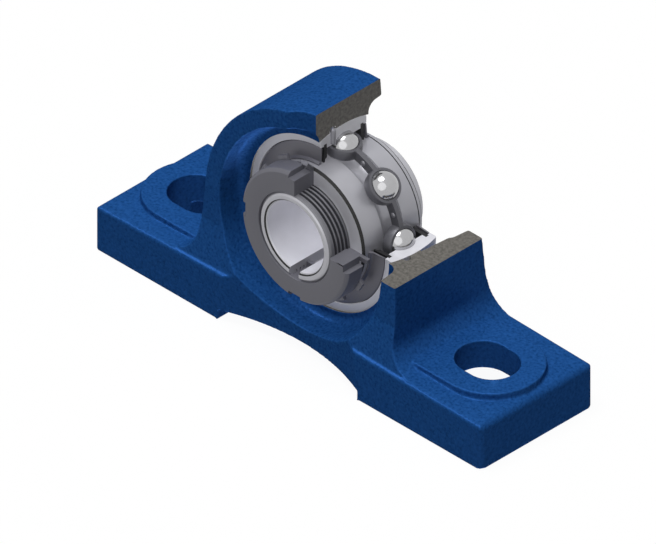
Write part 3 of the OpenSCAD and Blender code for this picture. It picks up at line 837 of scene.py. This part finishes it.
class BEARING_OT_sleeve(bpy.types.Operator):
    """Adapter sleeve with its taper, slit and cut thread"""

    bl_idname = "bearing.sleeve"
    bl_label = "Adapter sleeve"

    def execute(self, context):
        ring, sleeve = context.scene.ring_looks, context.scene.sleeve_looks
        low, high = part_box("adapter_sleeve")
        front, back = low.y, high.y
        ring_front = -half_length("inner_ring")
        taper_start = ring.taper_front - FIT
        taper_end = taper_start + (back - ring_front) * ring.taper_rate
        mouth = sleeve.bore + sleeve.bore_chamfer
        lip = sleeve.bore + 0.4 * sleeve.bore_chamfer
        rim = sleeve.nose + 0.5 * MM
        relief, burr, rounded = 0.15 * MM, 0.35 * MM, 0.12 * MM
        outside = [
            (sleeve.nose, front),
            (rim, front + rim - sleeve.nose),
            (sleeve.thread_radius, front + sleeve.thread_radius - sleeve.nose),
            (sleeve.thread_radius, ring_front),
            (taper_start, ring_front + relief),
            (taper_end, back - burr),
            (taper_end - burr, back),
        ]
        inside = [
            (mouth, back),
            (sleeve.bore, back - sleeve.bore_chamfer),
            (sleeve.bore, front + sleeve.bore_chamfer),
            (lip, front + mouth - lip),
            (mouth, front),
        ]
        points = outside + inside
        ends = [0, len(outside), len(points) - 1]
        body = turned(section(points, {rounded: ends}), steps=144)
        pitch = sleeve.thread_pitch
        root = sleeve.thread_radius - sleeve.thread_depth
        clear = sleeve.thread_radius + 0.1 * MM
        turns, turn_steps = sleeve.thread_turns, 96
        start = front + sleeve.thread_start
        wide, narrow, land = 0.32 * pitch, 0.08 * pitch, 0.2 * pitch
        groove = [(clear, start - wide), (root, start - narrow)]
        groove += [(root, start + narrow), (clear, start + wide)]
        thread = turned(section(groove), turns * math.tau, turns * turn_steps, turns * pitch)
        far = 60 * MM
        slit = block((-sleeve.slit / 2, -far, -far), (sleeve.slit / 2, far, -sleeve.bore / 2))
        mesh = moved(cut(body, thread), SHAFT)
        near = 0.02 * MM
        shade = sleeve.thread_radius - 0.1 * sleeve.thread_depth
        end = start + turns * pitch
        shade_black, root_shade_band, dull, lightened_bore = 1, 2, 3, 4
        # Painted shade: the bore's front chamfer and the back edge get the near-black material
        banded(mesh, [(lip, mouth, front + near, front + mouth - lip)], shade_black)
        banded(mesh, [(taper_end - burr, taper_end, back - burr, back - near)], shade_black)
        # Painted light: the bore takes the paler ground steel to offset the shade inside it
        banded(mesh, [(0, sleeve.bore + near, front, back)], lightened_bore)
        # Painted shade: the thread's roots and flanks get the dark grey
        banded(mesh, [(root - near, shade, start - pitch / 2, end + pitch / 2)], root_shade_band)
        banded(mesh, [(shade, clear, start - land, end + land)], dull)
        banded(mesh, [(rim, clear, front + near, start - land)], dull)
        mesh = cut(mesh, moved(slit, SHAFT))
        steel = turned_metal("turned_sleeve_steel", sleeve.turned_steel)
        scale = bpy.data.materials["painted_shade_black"]
        root_shaded = plain_metal("painted_root_shade_steel", sleeve.root_shade)
        crest = plain_metal("darker_crest_steel", sleeve.crest)
        ground = bpy.data.materials["ground_bearing_steel"]
        finishes = [steel, scale, root_shaded, crest, ground]
        published(mesh, "sleeve_body", "adapter_sleeve", finishes)
        return {"FINISHED"}


class BEARING_OT_nut(bpy.types.Operator):
    """Lock nut with four spanner slots"""

    bl_idname = "bearing.nut"
    bl_label = "Lock nut"

    def execute(self, context):
        sleeve = context.scene.sleeve_looks
        low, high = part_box("lock_nut")
        bore = sleeve.thread_radius + 0.05 * MM
        rim, slope, back_slope = sleeve.nut_radius, sleeve.nut_chamfer, 0.4 * MM
        rounded, slots = 0.15 * MM, 4
        points = [
            (bore, low.y),
            (rim - slope, low.y),
            (rim, low.y + slope),
            (rim, high.y - back_slope),
            (rim - back_slope, high.y),
            (bore, high.y),
        ]
        mesh = turned(section(points, {rounded: [0, 1, 2, 5]}), steps=144)
        far = 40 * MM
        floor = rim - sleeve.slot_depth
        for i in range(slots):
            notch = block((-sleeve.slot_width / 2, -far, floor), (sleeve.slot_width / 2, far, far))
            mesh = cut(mesh, rotated(notch, i * math.tau / slots))
        mesh = moved(cut(mesh, quarter()), SHAFT)
        steel = turned_metal("phosphated_nut_steel", sleeve.dark_steel)
        published(mesh, "nut_body", "lock_nut", [steel], edge=rounded)
        return {"FINISHED"}


class BEARING_OT_washer(bpy.types.Operator):
    """Lock washer with straight teeth, one bent into the nut, and its inner tang"""

    bl_idname = "bearing.washer"
    bl_label = "Lock washer"

    def execute(self, context):
        sleeve = context.scene.sleeve_looks
        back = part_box("lock_washer")[1].y
        sheet, rounded = sleeve.washer_sheet, 0.1 * MM
        front = back - sheet
        root = sleeve.washer_radius - sheet
        half = sleeve.tooth_width / 2
        bore, rim = sleeve.washer_bore, sleeve.washer_radius
        mesh = turned(section([(bore, front), (rim, front), (rim, back), (bore, back)]), steps=144)
        for i in range(1, sleeve.tooth_count):
            tooth = block((-half, front, root), (half, back, sleeve.tooth_radius), rounded)
            mesh = joined(mesh, rotated(tooth, i * math.tau / sleeve.tooth_count - sleeve.tooth_turn))
        bend = sleeve.nut_radius - sleeve.slot_depth + sheet / 2
        overlap, tip_sheet = 0.6 * sheet, 0.8 * sheet
        stem = block((-half, front, root), (half, back, bend + overlap))
        tip = block((-half, 0, 0), (half, tip_sheet, sleeve.tooth_tip))
        tip = moved(rotated(tip, sleeve.tooth_lean, "X"), (0, front, bend))
        tip = rotated(tip, -sleeve.tooth_turn)
        tang_half = sleeve.tang_width / 2
        tang = block((-tang_half, front, -root), (tang_half, back, -sleeve.tang_reach))
        mesh = joined(mesh, rotated(stem, -sleeve.tooth_turn), tip, tang)
        mesh = moved(cut(mesh, quarter()), SHAFT)
        steel = plain_metal("stamped_washer_steel", sleeve.dark_steel)
        published(mesh, "washer_body", "lock_washer", [steel], edge=rounded)
        return {"FINISHED"}


def cage_half(cage, side):
    """Half of the riveted cage: a flat band with a pocket round each ball"""
    inner, outer = PITCH_RADIUS - cage.band / 2, PITCH_RADIUS + cage.band / 2
    pocket = BALL_RADIUS + cage.pocket_gap
    strip = section([(inner, 0), (outer, 0), (outer, cage.sheet), (inner, cage.sheet)])
    band = turned(strip, steps=192)
    places = range(len(BALLS))
    band = joined(band, *[on_pitch(sphere(pocket + cage.sheet, 48, 24), i) for i in places])
    band = cut(band, *[on_pitch(sphere(pocket, 48, 24), i) for i in places])
    reach = pocket + 2 * cage.sheet
    zone = turned(section([(inner, 0), (outer, 0), (outer, reach), (inner, reach)]), steps=192)
    band = combined(band, zone, "INTERSECT")
    if side < 0:
        rotated(band, math.pi, "Z")
    return moved(band, SHAFT)


class BEARING_OT_cage(bpy.types.Operator):
    """Two pressed cage halves and their rivets"""

    bl_idname = "bearing.cage"
    bl_label = "Cage"

    def execute(self, context):
        cage = context.scene.cage_looks
        steel = plain_metal("pressed_cage_steel", cage.steel)
        for side, end in ((-1, "front"), (1, "rear")):
            half = cage_half(cage, side)
            published(half, "cage_half_" + end, "cage_" + end, [steel], edge=0.12 * MM)
        rivets, flatness = bmesh.new(), 0.45
        for i in range(len(BALLS)):
            for side in (-1, 1):
                head = sphere(cage.rivet_head, 16, 10)
                bmesh.ops.scale(head, vec=(1, flatness, 1), verts=head.verts[:])
                on_pitch(moved(head, (0, side * cage.sheet, 0)), i + 0.5)
                data = settled(head, "head")
                rivets.from_mesh(data)
                bpy.data.meshes.remove(data)
        bright = plain_metal("upset_rivet_steel", cage.rivet_steel)
        published(moved(rivets, SHAFT), "rivet_heads", "cage_rivets", [bright])
        return {"FINISHED"}


class BEARING_OT_balls(bpy.types.Operator):
    """Eight lapped steel balls"""

    bl_idname = "bearing.balls"
    bl_label = "Balls"

    def execute(self, context):
        cage = context.scene.cage_looks
        bright = plain_metal("lapped_ball_steel", cage.bright, depth=0.1 * MM)
        for node in BALLS:
            ball = rotated(sphere(BALL_RADIUS, 64, 32), math.pi / 2, "X")
            published(moved(ball, middle(node)), node + "_polished", node, [bright])
        return {"FINISHED"}


def seen_rays(tree):
    """1 for rays that show the white: from the camera, off gloss or through glass"""
    ray = add_node(tree, "LightPath").outputs
    larger = {"operation": "MAXIMUM"}
    direct = {0: ray["Is Camera Ray"], 1: ray["Is Glossy Ray"]}
    seen = add_node(tree, "Math", larger, direct).outputs[0]
    return add_node(tree, "Math", larger, {0: seen, 1: ray["Is Transmission Ray"]}).outputs[0]


def pale_floor(stage):
    """Pale matt floor that reads as white paper to the camera and keeps the part's shadow"""
    material = bpy.data.materials.new("pale_floor")
    tree, output = emptied(material, "Material")
    share = stage.floor_share
    matt = add_node(tree, "BsdfDiffuse", {"Color": (share, share, share, 1)})
    lamplight = 0.9 * share
    paper = add_node(tree, "Emission", {"Color": (1, 1, 1, 1), "Strength": 1 - lamplight})
    lit = add_node(tree, "AddShader", {}, {0: matt.outputs[0], 1: paper.outputs[0]})
    both = {0: seen_rays(tree), 1: matt.outputs[0], 2: lit.outputs[0]}
    shown = add_node(tree, "MixShader", {}, both)
    tree.links.new(shown.outputs[0], output.inputs["Surface"])
    return material


def white_room(stage):
    """World that is white where it is seen and dimmer as light"""
    world = bpy.data.worlds.new("white_room")
    tree, output = emptied(world, "World")
    dim = add_node(tree, "Background", {"Color": (1, 1, 1, 1), "Strength": stage.room_strength})
    white = add_node(tree, "Background", {"Color": (1, 1, 1, 1), "Strength": 1.0})
    both = {0: seen_rays(tree), 1: dim.outputs[0], 2: white.outputs[0]}
    shown = add_node(tree, "MixShader", {}, both)
    tree.links.new(shown.outputs[0], output.inputs["Surface"])
    return world


def sun(name, strength, spread, direction, shadow=True):
    """A soft lamp that shines from a direction"""
    data = bpy.data.lights.new(name, "SUN")
    data.energy = strength
    data.angle = math.radians(spread)
    data.use_shadow = shadow
    lamp = linked(name, data)
    lamp.rotation_mode = "QUATERNION"
    lamp.rotation_quaternion = Vector(direction).to_track_quat("Z", "Y")
    return lamp


class BEARING_OT_stage(bpy.types.Operator):
    """Floor, lamps, white room and the isometric camera"""

    bl_idname = "bearing.stage"
    bl_label = "Stage"

    def execute(self, context):
        scene = context.scene
        stage = scene.stage_looks
        sheet = bmesh.new()
        bmesh.ops.create_grid(sheet, x_segments=1, y_segments=1, size=stage.floor_size / 2)
        data = settled(sheet, "studio_floor")
        data.materials.append(pale_floor(stage))
        linked("studio_floor", data)
        scene.world = white_room(stage)
        above, beside, below = (-0.15, -0.1, 1), (0.5, -0.7, 0.6), (0.1, 0.1, -1)
        grazing, floor_side = (-0.58, -0.58, 0.58), (0, 0.1, -1)
        narrow, soft, wide = 15, 35, 60
        sun("key_light", stage.key_strength, soft, above)
        sun("fill_light", stage.fill_strength, soft, above, shadow=False)
        sun("side_light", stage.side_strength, wide, beside, shadow=False)
        sun("low_light", stage.low_strength, wide, below, shadow=False)
        enamel = bpy.data.collections.new("enamel")
        enamel.objects.link(bpy.data.objects["housing_casting"])
        glint = sun("glint_light", stage.glint_strength, narrow, grazing, shadow=False)
        bounce = sun("bounce_light", stage.bounce_strength, wide, floor_side, shadow=False)
        for lamp in (glint, bounce):
            lamp.visible_diffuse = False
            lamp.light_linking.receiver_collection = enamel
        turn, rise = stage.azimuth, stage.elevation
        flat = math.cos(rise)
        back = Vector((math.sin(turn) * flat, -math.cos(turn) * flat, math.sin(rise)))
        right = Vector((math.cos(turn), math.sin(turn), 0))
        up = back.cross(right)
        lens = bpy.data.cameras.new("camera")
        lens.type = "ORTHO"
        lens.ortho_scale = stage.frame_width
        lens.clip_start = 0.01
        lens.clip_end = 20
        camera = linked("camera", lens)
        camera.location = right * stage.shift_right + up * stage.shift_up + back * stage.distance
        camera.rotation_mode = "QUATERNION"
        camera.rotation_quaternion = back.to_track_quat("Z", "Y")
        scene.camera = camera
        scene.view_settings.view_transform = "Standard"
        return {"FINISHED"}


PIECES = (
    BEARING_OT_casting,
    BEARING_OT_outer_ring,
    BEARING_OT_inner_ring,
    BEARING_OT_seals,
    BEARING_OT_sleeve,
    BEARING_OT_nut,
    BEARING_OT_washer,
    BEARING_OT_cage,
    BEARING_OT_balls,
    BEARING_OT_stage,
)
GROUPS = {
    "casting_looks": CastingLooks,
    "ring_looks": RingLooks,
    "sleeve_looks": SleeveLooks,
    "cage_looks": CageLooks,
    "stage_looks": StageLooks,
}


class BEARING_PT_panel(bpy.types.Panel):
    """Lists the steps that build the part"""

    bl_label = "Pillow block bearing"
    bl_idname = "BEARING_PT_panel"
    bl_space_type = "VIEW_3D"
    bl_region_type = "UI"
    bl_category = "Bearing"

    def draw(self, context):
        for step in PIECES:
            self.layout.operator(step.bl_idname)
        for name, group in GROUPS.items():
            box = self.layout.box()
            for key in group.__annotations__:
                box.prop(getattr(context.scene, name), key)


def register():
    """Registers the groups, operators and panel"""
    for name, group in GROUPS.items():
        bpy.utils.register_class(group)
        setattr(bpy.types.Scene, name, PointerProperty(type=group))
    for step in PIECES:
        bpy.utils.register_class(step)
    bpy.utils.register_class(BEARING_PT_panel)


def unregister():
    """Takes back what register did"""
    bpy.utils.unregister_class(BEARING_PT_panel)
    for step in reversed(PIECES):
        bpy.utils.unregister_class(step)
    for name, group in GROUPS.items():
        delattr(bpy.types.Scene, name)
        bpy.utils.unregister_class(group)


def main():
    """Builds every piece in order"""
    register()
    bpy.ops.bearing.casting()
    bpy.ops.bearing.outer_ring()
    bpy.ops.bearing.inner_ring()
    bpy.ops.bearing.seals()
    bpy.ops.bearing.sleeve()
    bpy.ops.bearing.nut()
    bpy.ops.bearing.washer()
    bpy.ops.bearing.cage()
    bpy.ops.bearing.balls()
    bpy.ops.bearing.stage()


if __name__ == "__main__":
    main()
